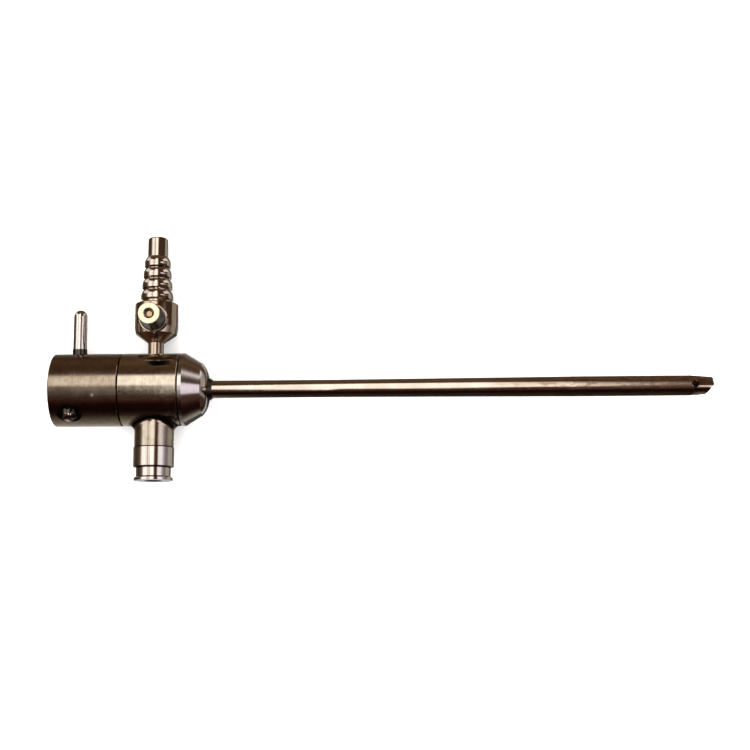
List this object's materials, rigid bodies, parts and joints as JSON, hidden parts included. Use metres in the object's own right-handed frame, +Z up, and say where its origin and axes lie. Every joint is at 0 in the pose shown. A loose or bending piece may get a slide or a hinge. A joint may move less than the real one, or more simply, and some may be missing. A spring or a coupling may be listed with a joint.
{
  "type": "arthroscope sheath",
  "caption": "Steel arthroscope sheath: a slotted, obliquely cut tube on a hub with a turning manifold, a stopcock with hose barb, a screwed connector and a telescope lock.",
  "frame": {"origin": "on the tube's axis at the hub's rear face, in the mouth of the telescope socket", "axes": "+X along the tube towards its tip, +Z up from the table that the sheath lies on, +Y towards the hose barb's side"},
  "size_m": [0.1804, 0.0682, 0.02],
  "materials": {
    "satin_steel": "satin",
    "polished_steel": "polished",
    "barrel_steel": "polished",
    "knob_steel": "turned",
    "spring_steel": "drawn",
    "seal_rubber": "matte",
    "washer_plastic": "matte"
  },
  "bodies": {
    "core": {"core_spindle": "satin_steel", "coupling_housing": "satin_steel", "rear_retainer": "satin_steel", "ring_washer": "spring_steel", "button_cup": "satin_steel", "button_spring": "spring_steel", "swivel_seal_rear": "seal_rubber", "swivel_seal_front": "seal_rubber", "telescope_seal": "seal_rubber", "housing_dowel": "spring_steel", "nose_cone": "satin_steel", "tube_ferrule": "polished_steel", "sheath_tube": "polished_steel"},
    "lock": {"lock_ring": "satin_steel", "lever_pin": "polished_steel"},
    "button": {"release_button": "polished_steel"},
    "manifold": {"manifold_sleeve": "satin_steel", "port_connector": "polished_steel", "port_gasket": "seal_rubber", "stopcock_body": "barrel_steel", "hose_barb": "barrel_steel"},
    "plug": {"stopcock_plug": "barrel_steel", "thrust_washer": "washer_plastic", "spring_washer": "spring_steel", "plug_nut": "polished_steel", "plug_knob": "knob_steel", "knob_screw": "spring_steel"}
  },
  "joints": [
    {"name": "manifold_swivel", "type": "hinge", "parent": "core", "child": "manifold", "pos_m": [0.0272, 0, 0], "axis": [1, 0, 0], "continuous": true},
    {"name": "stopcock_turn", "type": "hinge", "parent": "manifold", "child": "plug", "pos_m": [0.0272, 0.01863, -0.00318], "axis": [0, 0.1685, 0.9857], "range_deg": [0, 90]},
    {"name": "lock_lever_turn", "type": "hinge", "parent": "core", "child": "lock", "pos_m": [0.0063, 0, 0], "axis": [1, 0, 0], "range_deg": [-34, 0]},
    {"name": "release_button_press", "type": "slide", "parent": "core", "child": "button", "axis": [0, 0.6225, -0.7826], "range_m": [0, 0.0011], "stiffness_N_per_m": 800, "springref_m": -0.001, "deforming": ["button_spring"]}
  ]
}
